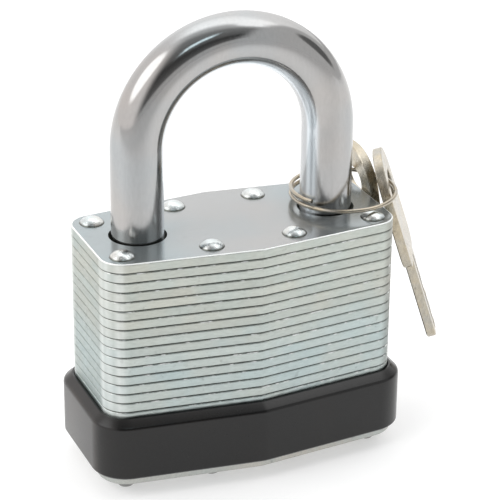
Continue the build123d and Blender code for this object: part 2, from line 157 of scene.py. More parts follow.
class Finishes:
    """The finishes of this lock."""

    PLATE_EDGE = Finish(
        "zinc_plate_edge", (0.512, 0.562, 0.534), (0.470, 0.561, 0.555), (0.556, 0.561, 0.502),
        metallic=1.0, roughness=0.34, tint_size=12.0, tint=0.45,
        grain_size=0.35, grain_draw=(0.25, 0.25, 1.0), grain_shade=0.10, grain_gloss=0.12,
        grain_height=0.012, mark_share=0.5, mark_shade=0.3,
        # grime with painted shade in the joints, painted highlights on the rims and left corners, painted
        # shade on both ends
        grime_pitch=PLATE_THICKNESS, grime_start=PLATE_BASE, grime_top=CASE_TOP,
        grime_width=0.17, grime_lift=0.08, layer_shade=0.10, rim_highlight=0.9,
        left_reach=(29.0, 32.3), left_lighting_tint=(0.80, 0.82, 0.82),
        right_reach=(28.6, 30.8), right_lighting_tint=(0.66, 0.64, 0.63),
        rise_reach=(28.0, 42.0), low_tint=(0.967, 1.0, 1.028), high_tint=(1.04, 1.0, 0.967),
    )
    TOP_FACE = Finish(
        "zinc_top_face", (0.375, 0.380, 0.378), (0.345, 0.380, 0.390), (0.390, 0.383, 0.375),
        metallic=0.70, roughness=0.20, tint_size=22.0, tint=0.6,
        grain_size=0.5, grain_draw=(0.15, 1.0, 1.0), grain_shade=0.04, grain_gloss=0.06,
        # the end tints are a painted reflection, cooler towards both ends
        mark_share=0.35, mark_shade=0.35, left_reach=(7.0, 20.0), left_lighting_tint=(0.90, 0.99, 1.02),
        right_reach=(7.0, 20.0), right_lighting_tint=(0.92, 0.99, 1.02),
    )
    TOP_PLATE = replace(PLATE_EDGE, name="zinc_top_plate", face=TOP_FACE, face_height=CASE_TOP)
    BOTTOM_PLATE = Finish(
        "zinc_bottom_plate", (0.50, 0.51, 0.48), (0.46, 0.50, 0.49), (0.54, 0.51, 0.46),
        metallic=1.0, roughness=0.38, tint_size=18.0, tint=0.8,
        grain_size=0.4, grain_shade=0.15, grain_gloss=0.10, mark_share=0.4,
    )
    RIVET = Finish(
        "bright_rivet", (0.66, 0.69, 0.69), (0.60, 0.67, 0.68), (0.71, 0.69, 0.65),
        metallic=1.0, roughness=0.20, tint_size=6.0, tint=0.6,
        grain_size=0.6, grain_shade=0.14, grain_gloss=0.14, grain_height=0.03,
        # a painted shadow round each head's seat, and painted shade on the feet
        mark_share=0.5, mark_shade=0.5, seat_height=CASE_TOP + 0.04, seat_width=0.42,
        foot_shade_height=FOOT_HEIGHT, foot_shade_colour=(0.33, 0.33, 0.32),
    )
    SHACKLE = Finish(
        "polished_shackle", (0.435, 0.43, 0.425), (0.41, 0.43, 0.44), (0.46, 0.435, 0.415),
        metallic=1.0, roughness=0.12, tint_size=20.0, tint=0.7,
        grain_size=0.5, grain_draw=(1.0, 1.0, 0.3), grain_shade=0.05, grain_gloss=0.06,
        grain_height=0.0015, scuff=0.07, scuff_reach=(72.0, 58.0),
        # the inner colour is a painted reflection, brighter and less metallic inside the bow
        inner_height=BEND_HEIGHT, inner_reflection_colour=(0.76, 0.81, 0.85),
    )
    BUMPER = Finish(
        "moulded_bumper", (0.0034, 0.0030, 0.0028), (0.0028, 0.0028, 0.0030), (0.0052, 0.0042, 0.0035),
        metallic=0.0, roughness=0.24, tint_size=12.0, tint=0.8,
        grain_size=0.30, grain_shade=0.10, grain_gloss=0.08, grain_height=0.003, specular=0.45,
        # the left end's tint is a painted reflection that lightens it
        left_reach=(34.3, 35.0), left_lighting_tint=(5.0, 4.8, 4.5),
    )
    KEY = Finish(
        "warm_nickel_key", (0.482, 0.444, 0.368), (0.464, 0.444, 0.396), (0.519, 0.452, 0.338),
        metallic=1.0, roughness=0.28, tint_size=5.0, tint=0.9,
        grain_size=0.5, grain_draw=(1.0, 1.0, 0.4), grain_shade=0.12, grain_gloss=0.18,
        grain_height=0.015, mark_share=0.5, mark_shade=0.35,
    )
    RING = Finish(
        "warm_nickel_ring", (0.44, 0.40, 0.33), (0.43, 0.41, 0.37), (0.47, 0.40, 0.30),
        metallic=1.0, roughness=0.22, tint_size=4.0, tint=0.8,
        grain_size=0.3, grain_shade=0.12, grain_gloss=0.10, grain_height=0.01,
    )
    BRASS = Finish(
        "machined_brass", (0.72, 0.53, 0.24), (0.70, 0.55, 0.30), (0.75, 0.50, 0.20),
        metallic=1.0, roughness=0.28, tint_size=6.0, tint=0.6,
        grain_size=0.2, grain_draw=(1.0, 1.0, 0.1), grain_shade=0.12, grain_gloss=0.10,
    )
    STEEL = Finish(
        "plain_steel", (0.50, 0.51, 0.53), (0.47, 0.51, 0.55), (0.54, 0.52, 0.49),
        metallic=1.0, roughness=0.32, tint_size=8.0, tint=0.6,
        grain_size=0.25, grain_shade=0.12, grain_gloss=0.12,
    )


def rgba(colour: Sequence[float]) -> tuple[float, float, float, float]:
    """The colour with full alpha."""
    return (*colour[:3], 1.0)


def grey(level: float) -> tuple[float, float, float, float]:
    """A grey of one level, with full alpha."""
    return (level, level, level, 1.0)


def metres(sizes: Sequence[float]) -> list[float]:
    """Sizes in millimetres as metres."""
    return [size * MM for size in sizes]


class Wiring:
    """Adds nodes to one shader tree and joins them."""

    def __init__(self, tree: bpy.types.NodeTree) -> None:
        """Starts from an empty tree.

        Args:
            tree: the tree to fill.
        """
        self.tree = tree
        self.tree.nodes.clear()

    def add(self, kind: str, inputs: dict[Any, Any] | None = None, **settings: Any) -> bpy.types.Node:
        """Adds a node, sets it up and feeds its inputs.

        Args:
            kind: the node's type name.
            inputs: socket name or number to a value, or to the output socket that feeds it.
            settings: attributes of the node itself.

        Returns:
            The new node.
        """
        node = self.tree.nodes.new(kind)
        for name, value in settings.items():
            setattr(node, name, value)
        for name, value in (inputs or {}).items():
            if isinstance(value, Socket):
                self.tree.links.new(value, node.inputs[name])
            else:
                node.inputs[name].default_value = value
        return node

    def maths(self, operation: str, *values: Any) -> Socket:
        """Result of one sum of one to three values or sockets.

        Args:
            operation: the sum's name.
            values: the numbers or sockets that go into it.

        Returns:
            The output socket.
        """
        return self.add("ShaderNodeMath", dict(enumerate(values)), operation=operation).outputs[0]

    def dot(self, value: Socket, direction: Sequence[float]) -> Socket:
        """How far a vector goes along a fixed direction."""
        node = self.add("ShaderNodeVectorMath", {0: value, 1: tuple(direction)}, operation="DOT_PRODUCT")
        return node.outputs[1]

    def step(self, value: Socket, start: float, end: float) -> Socket:
        """Smooth rise from 0 at the start to 1 at the end."""
        inputs = {0: value, 1: start, 2: end}
        return self.add("ShaderNodeMapRange", inputs, interpolation_type="SMOOTHSTEP").outputs[0]

    def span(self, value: Socket, start: float, end: float) -> Socket:
        """Even rise from 0 at the start to 1 at the end."""
        return self.add("ShaderNodeMapRange", {0: value, 1: start, 2: end}).outputs[0]

    def noise(self, place: Socket, frequency: Any, detail: float = 2.0, roughness: float = 0.5) -> Socket:
        """Cloudy noise of about 0 to 1.

        Args:
            place: the point.
            frequency: how many clouds go into a metre, as a number or a socket.
            detail: how many finer noises are in it.
            roughness: how strong these are.

        Returns:
            The output socket.
        """
        inputs = {"Vector": place, "Scale": frequency, "Detail": detail, "Roughness": roughness}
        return self.add("ShaderNodeTexNoise", inputs).outputs[0]

    def blend(self, share: Any, first: Any, second: Any, way: str = "MIX") -> Socket:
        """Mix of two colours, which are sockets 6 and 7 of the mix node, with its output 2.

        Args:
            share: how much of the second colour, 0 to 1.
            first: colour or socket.
            second: colour or socket.
            way: how the two are mixed.

        Returns:
            The output socket.
        """
        inputs = {0: share, 6: first, 7: second}
        return self.add("ShaderNodeMix", inputs, data_type="RGBA", blend_type=way).outputs[2]


@dataclass
class SharedEffects:
    """Shader groups that the finishes share: drifting tint, drawn grain, small marks, joint grime with
    painted shade, and painted highlights.

    Frequencies are per metre. A reach is where an effect starts and where it is complete, as a level of
    noise or, for the film, the ends, the rims and the corners, as a distance.
    """

    cloud_shift: float = 7.3
    cloud_roughness: float = 0.55
    cloud_reach: Reach = (0.42, 0.66)
    grain_detail: float = 3.0
    grain_roughness: float = 0.6
    grain_reach: Reach = (0.3, 0.7)
    mark_frequency: float = 900.0
    mark_reach: Reach = (0.63, 0.70)
    patch_frequency: float = 130.0
    patch_reach: Reach = (0.50, 0.62)
    # the film is grime with painted shade, weaker to the right and on the ends, where the joints catch
    # more light
    film_frequency: float = 160.0
    film_patchiness: float = 0.2
    film_depth: float = 1.6
    film_right_reach: Reach = (-5.0, 28.0)
    film_right_loss: float = 0.35
    end_reach: Reach = (31.5, 32.5)
    film_end_loss: float = 0.10
    # painted highlights: rims under the joints, dashes, the top rim and upright bands on the left corners
    rim_reach: Reach = (0.32, 0.18)
    rim_end_loss: float = 0.75
    dash_frequency: float = 520.0
    dash_reach: Reach = (0.52, 0.70)
    corner_direction: tuple[float, float] = (0.8, 0.6)
    corner_reach: Reach = (30.5, 31.6)
    corner_highlight: float = 0.65
    band_frequency: float = 600.0
    band_draw: tuple[float, float, float] = (1.0, 1.0, 0.02)

    def __post_init__(self) -> None:
        """Builds each group once."""
        self.tint = self._tint()
        self.grain = self._grain()
        self.marks = self._marks()
        self.grime_and_shade = self._joint_grime_and_highlights()

    @staticmethod
    def _group(name: str, inputs: dict[str, str], outputs: dict[str, str]) -> tuple[Any, Wiring, Any, Any]:
        """An empty group with its sockets.

        Args:
            name: the group's name.
            inputs: socket name to its kind.
            outputs: socket name to its kind.

        Returns:
            The group, its wiring, and the nodes of its inputs and outputs.
        """
        tree = bpy.data.node_groups.new(name, "ShaderNodeTree")
        for way, sockets in (("INPUT", inputs), ("OUTPUT", outputs)):
            for socket, kind in sockets.items():
                tree.interface.new_socket(name=socket, in_out=way, socket_type=f"NodeSocket{kind}")
        wiring = Wiring(tree)
        return tree, wiring, wiring.add("NodeGroupInput"), wiring.add("NodeGroupOutput")

    def _tint(self) -> bpy.types.NodeTree:
        """Colour that drifts from a base towards a cool and a warm one in soft clouds.

        Returns:
            The group.
        """
        tree, wiring, source, sink = self._group(
            "drifting_tint",
            {"Place": "Vector", "Frequency": "Float", "Amount": "Float",
             "Base": "Color", "Cool": "Color", "Warm": "Color"},
            {"Colour": "Color"},
        )
        get = source.outputs
        result = get["Base"]
        for shift, colour in ((0.0, "Cool"), (self.cloud_shift * MM, "Warm")):
            moved = wiring.add("ShaderNodeVectorMath", {0: get["Place"], 1: (shift, shift, shift)})
            clouds = wiring.noise(moved.outputs[0], get["Frequency"], roughness=self.cloud_roughness)
            share = wiring.maths("MULTIPLY", wiring.step(clouds, *self.cloud_reach), get["Amount"])
            result = wiring.blend(share, result, get[colour])
        tree.links.new(result, sink.inputs["Colour"])
        return tree

    def _grain(self) -> bpy.types.NodeTree:
        """Fine noise drawn out along an axis, 0 to 1.

        Returns:
            The group.
        """
        tree, wiring, source, sink = self._group(
            "drawn_grain", {"Place": "Vector", "Draw": "Vector", "Frequency": "Float"}, {"Value": "Float"}
        )
        get = source.outputs
        drawn = wiring.add("ShaderNodeVectorMath", {0: get["Place"], 1: get["Draw"]}, operation="MULTIPLY")
        fine = wiring.noise(drawn.outputs[0], get["Frequency"], self.grain_detail, self.grain_roughness)
        tree.links.new(wiring.span(fine, *self.grain_reach), sink.inputs["Value"])
        return tree

    def _marks(self) -> bpy.types.NodeTree:
        """Small sparse marks from handling: crests of a fine noise inside the patches of a coarse one.

        Returns:
            The group.
        """
        tree, wiring, source, sink = self._group(
            "handling_marks", {"Place": "Vector", "Share": "Float"}, {"Mask": "Float"}
        )
        get = source.outputs
        crest = wiring.span(wiring.noise(get["Place"], self.mark_frequency), *self.mark_reach)
        patch = wiring.span(wiring.noise(get["Place"], self.patch_frequency), *self.patch_reach)
        both = wiring.maths("MULTIPLY", crest, patch)
        tree.links.new(wiring.maths("MULTIPLY", both, get["Share"]), sink.inputs["Mask"])
        return tree

    def _joint_grime_and_highlights(self) -> bpy.types.NodeTree:
        """Dark film just above each of many evenly spaced joints, grime with painted shade, and painted
        highlights.

        The film is thinner towards the right and on the two ends, where the joints catch more light. The
        painted highlights are dashes of the rim just under each joint, the whole rim at the top, and
        upright bands on the left corners.

        Returns:
            The group.
        """
        sizes = dict.fromkeys(("Pitch", "Start", "Top", "Width", "Lift"), "Float")
        tree, wiring, source, sink = self._group(
            "joint_grime_shade_and_highlights", {"Place": "Vector", **sizes}, {"Mask": "Float", "Highlight": "Float"}
        )
        get = source.outputs
        place = wiring.add("ShaderNodeSeparateXYZ", {0: get["Place"]}).outputs
        out_x, out_y = (wiring.maths("ABSOLUTE", place[axis]) for axis in (0, 1))
        rise = wiring.maths("SUBTRACT", place[2], get["Start"])
        covered = wiring.maths("LESS_THAN", place[2], wiring.maths("SUBTRACT", get["Top"], get["Width"]))
        at_end = wiring.step(out_x, *metres(self.end_reach))

        # grime with painted shade just above each joint
        half_pitch = wiring.maths("MULTIPLY", get["Pitch"], 0.5)
        away = wiring.maths("PINGPONG", wiring.maths("SUBTRACT", rise, get["Lift"]), half_pitch)
        patches = wiring.noise(get["Place"], self.film_frequency)
        spread = wiring.maths("MULTIPLY_ADD", patches, self.film_patchiness, 1 - self.film_patchiness / 2)
        reach = wiring.maths("MULTIPLY", get["Width"], spread)
        inside = wiring.maths("SUBTRACT", 1.0, wiring.maths("DIVIDE", away, reach))
        dark = wiring.add("ShaderNodeClamp", {0: wiring.maths("MULTIPLY", inside, self.film_depth)})
        # the painted shade fades towards the right and on the ends, where the joints catch more light
        to_right = wiring.step(place[0], *metres(self.film_right_reach))
        loss = wiring.maths(
            "MAXIMUM", wiring.maths("MULTIPLY", to_right, self.film_right_loss),
            wiring.maths("MULTIPLY", at_end, self.film_end_loss),
        )
        film = wiring.maths("MULTIPLY", dark.outputs[0], covered)
        film = wiring.maths("MULTIPLY", film, wiring.maths("SUBTRACT", 1.0, loss))
        tree.links.new(film, sink.inputs["Mask"])

        # painted highlights: dashes of the rim under each joint, the whole top rim, bands on the left
        # corners
        below = wiring.maths("SUBTRACT", get["Pitch"], wiring.maths("WRAP", rise, get["Pitch"], 0.0))
        dashes = wiring.step(wiring.noise(get["Place"], self.dash_frequency), *self.dash_reach)
        rim = wiring.maths("MULTIPLY", wiring.step(below, *metres(self.rim_reach)), dashes)
        rim = wiring.maths("MULTIPLY", rim, wiring.maths("MULTIPLY_ADD", at_end, -self.rim_end_loss, 1.0))
        top_rim = wiring.maths("SUBTRACT", 1.0, covered)
        across = wiring.maths("MULTIPLY", out_y, self.corner_direction[1])
        outer = wiring.maths("MULTIPLY_ADD", out_x, self.corner_direction[0], across)
        inputs = {0: get["Place"], 1: self.band_draw}
        upright = wiring.add("ShaderNodeVectorMath", inputs, operation="MULTIPLY")
        bands = wiring.noise(upright.outputs[0], self.band_frequency, detail=1.0)
        corner = wiring.maths("MULTIPLY", wiring.step(outer, *metres(self.corner_reach)), bands)
        corner = wiring.maths("MULTIPLY", corner, wiring.maths("LESS_THAN", place[0], 0.0))
        corner = wiring.maths("MULTIPLY", corner, self.corner_highlight)
        highlight = wiring.maths("MAXIMUM", wiring.maths("MAXIMUM", rim, top_rim), corner)
        tree.links.new(highlight, sink.inputs["Highlight"])
        return tree


@dataclass
class Look:
    """What a finish feeds to its shader: colour, roughness, metal share and grain."""

    colour: Socket
    roughness: Socket
    metal: Socket | float
    grain: Socket

    def towards(self, wiring: Wiring, share: Socket, other: "Look") -> "Look":
        """This look, going over into another one, which brings no grain.

        Args:
            wiring: the material's wiring.
            share: how much of the other look.
            other: the look to end with.

        Returns:
            The joint look.
        """
        def between(start: Any, end: Any) -> Socket:
            """Value between two values or sockets."""
            return wiring.maths("MULTIPLY_ADD", share, wiring.maths("SUBTRACT", end, start), start)

        return Look(
            wiring.blend(share, self.colour, other.colour), between(self.roughness, other.roughness),
            between(self.metal, other.metal), between(self.grain, 0.0),
        )


@dataclass
class Painter:
    """Lays the effects of one finish over each other in a material.

    The inner reaches are levels of facing the bow's middle, from -1 to 1.
    """

    wiring: Wiring
    effects: SharedEffects
    place: Socket
    finish: Finish
    layer_spread: float = 0.4
    mark_tone: float = 0.05
    mark_dulling: float = 0.2
    grime_dulling: float = 0.3
    highlight_metal_loss: float = 0.8
    inner_reach: Reach = (0.62, 0.82)
    inner_metal_loss: float = 0.45
    middle_reach: Reach = (0.94, 0.98)
    middle_loss: float = 0.65
    foot_shade_fade: float = 0.2

    def look(self) -> Look:
        """Tint and grain first, then every effect that the finish has.

        Returns:
            The finished look.
        """
        finish = self.finish
        layer = self._layer() if finish.grime_pitch else None
        look = self._ground(layer)
        if finish.mark_share:
            self._add_marks(look)
        if finish.scuff:
            low = self._along(UP, finish.scuff_reach)
            look.roughness = self.wiring.maths("MULTIPLY_ADD", low, finish.scuff, look.roughness)
        self._add_tints(look)
        if layer is not None:
            self._add_layers(look, layer)
        if finish.inner_height:
            self._add_inner_reflection(look)
        if finish.seat_width:
            self._add_seat_and_foot_shade(look)
        return look

    def _along(self, direction: Sequence[float], reach: Reach) -> Socket:
        """Smooth rise from 0 to 1 along a direction, over a reach."""
        return self.wiring.step(self.wiring.dot(self.place, direction), *metres(reach))

    def _layer(self) -> Socket:
        """Number of the layer that a point is in."""
        rise = self.wiring.maths("SUBTRACT", self.wiring.dot(self.place, UP), self.finish.grime_start * MM)
        return self.wiring.maths("FLOOR", self.wiring.maths("DIVIDE", rise, self.finish.grime_pitch * MM))

    def _ground(self, layer: Socket | None) -> Look:
        """Drifting tint, of its own in each layer, shaded by the grain, which roughens it too.

        Args:
            layer: number of the layer, if there are layers.

        Returns:
            The look to start from.
        """
        finish, wiring = self.finish, self.wiring
        tint_place = self.place
        if layer is not None:
            spot = wiring.add("ShaderNodeSeparateXYZ", {0: self.place}).outputs
            apart = wiring.maths("MULTIPLY", layer, self.layer_spread * finish.tint_size * MM)
            tint_place = wiring.add("ShaderNodeCombineXYZ", {0: spot[0], 1: spot[1], 2: apart}).outputs[0]
        tint = wiring.add(
            "ShaderNodeGroup",
            {"Place": tint_place, "Frequency": 1 / (finish.tint_size * MM), "Amount": finish.tint,
             "Base": rgba(finish.base), "Cool": rgba(finish.cool), "Warm": rgba(finish.warm)},
            node_tree=self.effects.tint,
        ).outputs[0]
        grain = wiring.add(
            "ShaderNodeGroup",
            {"Place": self.place, "Draw": finish.grain_draw, "Frequency": 1 / (finish.grain_size * MM)},
            node_tree=self.effects.grain,
        ).outputs[0]
        colour = wiring.blend(wiring.maths("MULTIPLY", grain, finish.grain_shade), tint, BLACK)
        smoothest = finish.roughness - finish.grain_gloss / 2
        roughness = wiring.maths("MULTIPLY_ADD", grain, finish.grain_gloss, smoothest)
        return Look(colour, roughness, finish.metallic, grain)

    def _add_marks(self, look: Look) -> None:
        """Small dark marks, duller than the rest.

        Args:
            look: the look to change.
        """
        inputs = {"Place": self.place, "Share": self.finish.mark_share}
        marks = self.wiring.add("ShaderNodeGroup", inputs, node_tree=self.effects.marks).outputs[0]
        share = self.wiring.maths("MULTIPLY", marks, self.finish.mark_shade)
        look.colour = self.wiring.blend(share, look.colour, grey(self.mark_tone))
        look.roughness = self.wiring.maths("MULTIPLY_ADD", marks, self.mark_dulling, look.roughness)

    def _add_tints(self, look: Look) -> None:
        """Tints that change with height, and the lighting tints towards the left and right end: painted
        shade or a painted reflection.

        Args:
            look: the look to change.
        """
        finish, wiring = self.finish, self.wiring
        if finish.rise_reach[1]:
            share = self._along(UP, finish.rise_reach)
            drift = wiring.blend(share, rgba(finish.low_tint), rgba(finish.high_tint))
            look.colour = wiring.blend(1.0, look.colour, drift, "MULTIPLY")
        # painted shade or a painted reflection towards each end
        for side, reach, tint in (
            (-1.0, finish.left_reach, finish.left_lighting_tint), (1.0, finish.right_reach, finish.right_lighting_tint),
        ):
            if reach[1]:
                share = self._along((side, 0.0, 0.0), reach)
                look.colour = wiring.blend(share, look.colour, rgba(tint), "MULTIPLY")

    def _add_layers(self, look: Look, layer: Socket) -> None:
        """Each layer's own shade, the painted highlights on its rims, and the grime with painted shade in
        the joints.

        Args:
            look: the look to change.
            layer: number of the layer.
        """
        finish, wiring = self.finish, self.wiring
        drawn = wiring.add("ShaderNodeTexWhiteNoise", {"W": layer}, noise_dimensions="1D").outputs[0]
        look.colour = wiring.blend(wiring.maths("MULTIPLY", drawn, finish.layer_shade), look.colour, BLACK)
        grime_and_shade, highlight = wiring.add(
            "ShaderNodeGroup",
            {"Place": self.place, "Pitch": finish.grime_pitch * MM, "Start": finish.grime_start * MM,
             "Top": finish.grime_top * MM, "Width": finish.grime_width * MM,
             "Lift": finish.grime_lift * MM},
            node_tree=self.effects.grime_and_shade,
        ).outputs
        # painted highlights on the rims and left corners, whiter and less metallic
        highlight_share = wiring.maths("MULTIPLY", highlight, finish.rim_highlight)
        look.colour = wiring.blend(highlight_share, look.colour, rgba(finish.rim_highlight_colour))
        look.metal = wiring.maths("MULTIPLY_ADD", highlight_share, -self.highlight_metal_loss, finish.metallic)
        # grime with painted shade in the joints
        look.colour = wiring.blend(grime_and_shade, look.colour, rgba(finish.grime_and_shade_colour))
        look.roughness = wiring.maths("MULTIPLY_ADD", grime_and_shade, self.grime_dulling, look.roughness)

    def _add_inner_reflection(self, look: Look) -> None:
        """Painted reflection on the inside of a bent bar: brighter and less metallic, less bright along
        its middle.

        Args:
            look: the look to change.
        """
        wiring = self.wiring
        inward = self._inward()
        inner = wiring.step(inward, *self.inner_reach)
        middle = wiring.step(inward, *self.middle_reach)
        share = wiring.maths("MULTIPLY_ADD", middle, -self.middle_loss, inner)
        # painted reflection on the inside of the bow
        look.colour = wiring.blend(share, look.colour, rgba(self.finish.inner_reflection_colour))
        look.metal = wiring.maths("MULTIPLY_ADD", inner, -self.inner_metal_loss, self.finish.metallic)

    def _inward(self) -> Socket:
        """How far a bent bar's surface faces the inside of its bow.

        Above the bend's height, outward is away from the bend's centre. On the legs it is sideways.

        Returns:
            1 where the surface faces the bow's middle, -1 where it faces away.
        """
        wiring = self.wiring
        spot = wiring.add("ShaderNodeSeparateXYZ", {0: self.place}).outputs
        rise = wiring.maths("SUBTRACT", spot[2], self.finish.inner_height * MM)
        outward = wiring.add("ShaderNodeCombineXYZ", {0: spot[0], 2: wiring.maths("MAXIMUM", rise, 0.0)})
        unit = wiring.add("ShaderNodeVectorMath", {0: outward.outputs[0]}, operation="NORMALIZE")
        inputs = {0: wiring.add("ShaderNodeTexCoord").outputs["Normal"], 1: unit.outputs[0]}
        facing = wiring.add("ShaderNodeVectorMath", inputs, operation="DOT_PRODUCT")
        return wiring.maths("MULTIPLY", facing.outputs[1], -1.0)

    def _add_seat_and_foot_shade(self, look: Look) -> None:
        """Painted shadow round the seat of a head, and painted shade on the feet.

        Args:
            look: the look to change.
        """
        finish, wiring = self.finish, self.wiring
        # painted shadow round the seat of a head
        rise = wiring.maths("SUBTRACT", wiring.dot(self.place, UP), finish.seat_height * MM)
        near = wiring.step(wiring.maths("ABSOLUTE", rise), finish.seat_width * MM, 0.0)
        look.colour = wiring.blend(near, look.colour, rgba(finish.grime_and_shade_colour))
        # painted shade on the feet
        foot_shade = (finish.foot_shade_height + self.foot_shade_fade, finish.foot_shade_height - self.foot_shade_fade)
        look.colour = wiring.blend(self._along(UP, foot_shade), look.colour, rgba(finish.foot_shade_colour))


@dataclass
class FinishShop:
    """Makes one material for each finish, from the shared effects.

    The look of a level face starts and is complete at the two depths of its fade.
    """

    effects: SharedEffects = field(default_factory=SharedEffects)
    made: dict[str, bpy.types.Material] = field(default_factory=dict)
    face_fade: Reach = (0.20, 0.04)

    def material(self, finish: Finish) -> bpy.types.Material:
        """The material of a finish, made at its first use.

        Args:
            finish: the finish.

        Returns:
            The material.
        """
        if finish.name not in self.made:
            self.made[finish.name] = self._make(finish)
        return self.made[finish.name]

    def _make(self, finish: Finish) -> bpy.types.Material:
        """Builds a material, with another look on the level face at the top where the finish has one.

        Args:
            finish: the finish.

        Returns:
            The material.
        """
        material = bpy.data.materials.new(finish.name)
        material.use_nodes = True
        wiring = Wiring(material.node_tree)
        place = wiring.add("ShaderNodeTexCoord").outputs["Object"]
        look = Painter(wiring, self.effects, place, finish).look()
        if finish.face:
            heights = metres([finish.face_height - depth for depth in self.face_fade])
            share = wiring.step(wiring.dot(place, UP), *heights)
            look = look.towards(wiring, share, Painter(wiring, self.effects, place, finish.face).look())
        shader = wiring.add(
            "ShaderNodeBsdfPrincipled",
            {"Base Color": look.colour, "Roughness": look.roughness, "Metallic": look.metal,
             "Specular IOR Level": finish.specular},
        )
        if finish.grain_height:
            inputs = {"Height": look.grain, "Strength": 1.0, "Distance": finish.grain_height * MM}
            bump = wiring.add("ShaderNodeBump", inputs)
            material.node_tree.links.new(bump.outputs[0], shader.inputs["Normal"])
        wiring.add("ShaderNodeOutputMaterial", {"Surface": shader.outputs[0]})
        return material


@dataclass
class Surface:
    """A mesh put together from grids of points and fans, in millimetres."""

    points: list[np.ndarray] = field(default_factory=list)
    quads: list[np.ndarray] = field(default_factory=list)
    fans: list[np.ndarray] = field(default_factory=list)
    count: int = 0

    def add_grid(self, grid: np.ndarray, close_rows: bool = False, caps: bool = False) -> None:
        """Adds a grid whose columns close on themselves: each cell becomes a quad.

        Args:
            grid: points as rows, columns, 3.
            close_rows: whether the last row joins the first.
            caps: whether the first and last row are closed by a fan to their middle.
        """
        rows, columns = grid.shape[:2]
        number = self.count + np.arange(rows * columns).reshape(rows, columns)
        low = number if close_rows else number[:-1]
        high = np.roll(number, -1, axis=0) if close_rows else number[1:]
        quads = np.stack([low, np.roll(low, -1, axis=1), np.roll(high, -1, axis=1), high], axis=-1)
        self.quads.append(quads.reshape(-1, 4))
        self.points.append(grid.reshape(-1, 3))
        self.count += rows * columns
        if caps:
            for ring, edge in ((number[0], grid[0]), (number[-1], grid[-1])):
                middle = np.full(columns, self.count)
                self.fans.append(np.stack([ring, np.roll(ring, -1), middle], axis=-1))
                self.points.append(edge.mean(axis=0)[None])
                self.count += 1

    def to_object(self, name: str, crease: float) -> bpy.types.Object:
        """Makes the mesh object, smooth except where faces meet at more than the crease angle.

        Args:
            name: the object's name.
            crease: angle in degrees past which an edge stays sharp.

        Returns:
            The object, at the origin.
        """
        quads = np.concatenate(self.quads) if self.quads else np.zeros((0, 4), int)
        fans = np.concatenate(self.fans) if self.fans else np.zeros((0, 3), int)
        corners = np.concatenate([quads.ravel(), fans.ravel()]).astype(np.int32)
        starts = np.concatenate([np.arange(len(quads)) * 4, quads.size + np.arange(len(fans)) * 3])
        mesh = bpy.data.meshes.new(name)
        mesh.vertices.add(self.count)
        mesh.vertices.foreach_set("co", (np.concatenate(self.points) * MM).astype(np.float32).ravel())
        mesh.loops.add(len(corners))
        mesh.loops.foreach_set("vertex_index", corners)
        mesh.polygons.add(len(starts))
        mesh.polygons.foreach_set("loop_start", starts.astype(np.int32))
        mesh.update(calc_edges=True)
        mesh.validate()
        whole = bmesh.new()
        whole.from_mesh(mesh)
        bmesh.ops.recalc_face_normals(whole, faces=whole.faces)
        whole.to_mesh(mesh)
        whole.free()
        mesh.shade_smooth()
        mesh.set_sharp_from_angle(angle=radians(crease))
        piece = bpy.data.objects.new(name, mesh)
        bpy.context.scene.collection.objects.link(piece)
        return piece


def rounded_profile(
    points: Sequence[Sequence[float]], radii: Sequence[float], steps: int = 5
) -> np.ndarray:
    """A closed polygon with each corner replaced by an arc tangent to its two sides.

    Args:
        points: the corners in order.
        radii: radius of each corner, 0 to leave it sharp.
        steps: points on each arc.

    Returns:
        The outline's points, n by 2.
    """
    corners = np.asarray(points, float)
    outline = []
    for number, radius in enumerate(radii):
        corner = corners[number]
        back = corners[number - 1] - corner
        ahead = corners[(number + 1) % len(corners)] - corner
        back /= np.hypot(*back)
        ahead /= np.hypot(*ahead)
        if not radius:
            outline.append(corner[None])
            continue
        half = np.arccos(np.clip(back @ ahead, -1, 1)) / 2
        bisector = (back + ahead) / np.hypot(*(back + ahead))
        centre = corner + bisector * radius / np.sin(half)
        first = corner + back * radius / np.tan(half) - centre
        last = corner + ahead * radius / np.tan(half) - centre
        share = np.linspace(0, 1, steps)[:, None]
        arc = first * (1 - share) + last * share
        arc *= radius / np.hypot(arc[:, 0], arc[:, 1])[:, None]
        outline.append(centre + arc)
    return np.concatenate(outline)


